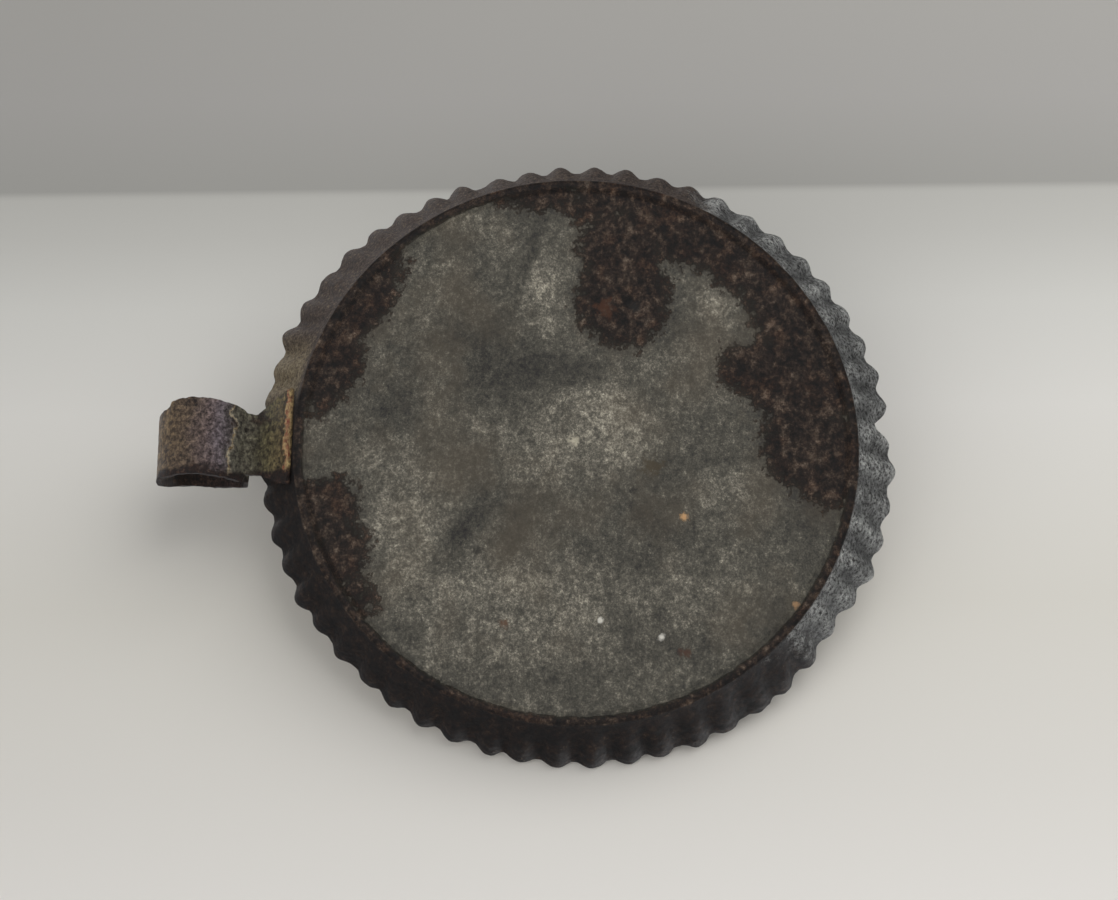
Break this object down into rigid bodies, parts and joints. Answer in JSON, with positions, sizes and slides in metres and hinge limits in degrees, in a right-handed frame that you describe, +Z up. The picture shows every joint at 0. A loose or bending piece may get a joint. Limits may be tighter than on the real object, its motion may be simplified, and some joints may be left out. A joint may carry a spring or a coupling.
{
  "type": "carbide lamp",
  "caption": "Small household carbide lamp with a drip-feed water tank and reflector, standing on a shallow fluted tinplate saucer with a finger loop.",
  "frame": {"origin": "centre of the saucer's flat underside, on the lamp's axis, at the height of the surface it stands on", "axes": "+Z up along the lamp's axis, +Y towards the finger loop, -Y the way the burner and reflector face"},
  "size_m": [0.162, 0.1885, 0.1128],
  "materials": {
    "saucer_tinplate": "worn tinned sheet iron, grey-green, with crusts of brown rust",
    "loop_tinplate": "tinned strip, mottled purple-brown and grey-green",
    "cup_tinplate": "dull tinplate with a lime bloom",
    "body_brass": "aged brass with a brown patina",
    "fitting_brass": "turned brass, rubbed brighter on its edges",
    "reflector_nickel": "nickel plate, slightly tarnished and sooty at its middle",
    "steel": "plain drawn steel",
    "rubber": "hard old rubber",
    "felt": "pressed wool felt",
    "hemp": "greased hemp packing",
    "leather": "leather washer",
    "steatite": "fired steatite, a ceramic, smoked grey at its mouth"
  },
  "bodies": {
    "base": {"base_pan": "saucer_tinplate", "finger_loop": "loop_tinplate", "canister_foot_ring": "fitting_brass", "carbide_canister": "body_brass"},
    "cup": {"carbide_cup": "cup_tinplate"},
    "seal": {"gasket": "rubber"},
    "tank": {"water_tank": "body_brass", "grip_band": "fitting_brass", "tank_floor": "body_brass", "valve_seat": "fitting_brass", "drip_tube": "fitting_brass", "filter_felt": "felt", "filter_retainer": "fitting_brass", "retainer_clip": "fitting_brass", "valve_boss": "fitting_brass", "gland_packing": "hemp", "packing_nut": "fitting_brass", "valve_spring": "steel", "filler_neck": "fitting_brass", "cap_hinge_bracket": "fitting_brass", "cap_hinge_pin": "steel", "gas_tube": "fitting_brass", "burner_socket": "fitting_brass", "burner_tip": "steatite", "reflector_washer": "fitting_brass", "reflector": "reflector_nickel", "reflector_nut": "fitting_brass"},
    "needle": {"valve_needle": "fitting_brass"},
    "knob": {"valve_knob": "fitting_brass", "knob_nut": "fitting_brass"},
    "lid": {"filler_cap": "fitting_brass", "cap_seal": "leather"}
  },
  "joints": [
    {"name": "tank_lift", "type": "slide", "parent": "base", "child": "seal", "axis": [0, 0, 1], "range_m": [0, 0.06]},
    {"name": "tank_turn", "type": "hinge", "parent": "seal", "child": "tank", "pos_m": [0, 0, 0.0468], "axis": [0, 0, 1], "range_deg": [0, 450]},
    {"name": "cup_lift", "type": "slide", "parent": "base", "child": "cup", "axis": [0, 0, 1], "range_m": [0, 0.027]},
    {"name": "valve_lift", "type": "slide", "parent": "tank", "child": "needle", "axis": [0, 0, 1], "range_m": [0, 0.0019], "deforming": ["valve_spring"]},
    {"name": "valve_turn", "type": "hinge", "parent": "needle", "child": "knob", "pos_m": [0, 0, 0.1059], "axis": [0, 0, 1], "range_deg": [0, 450]},
    {"name": "filler_cap_hinge", "type": "hinge", "parent": "tank", "child": "lid", "pos_m": [0, 0.0314, 0.0967], "axis": [-1, 0, 0], "range_deg": [0, 110]}
  ],
  "couplings": [
    {"joint": "cup_lift", "follows": "tank_lift", "ratio": 0.45},
    {"joint": "valve_lift", "follows": "valve_turn", "m_per_rad": 0.00023873}
  ]
}
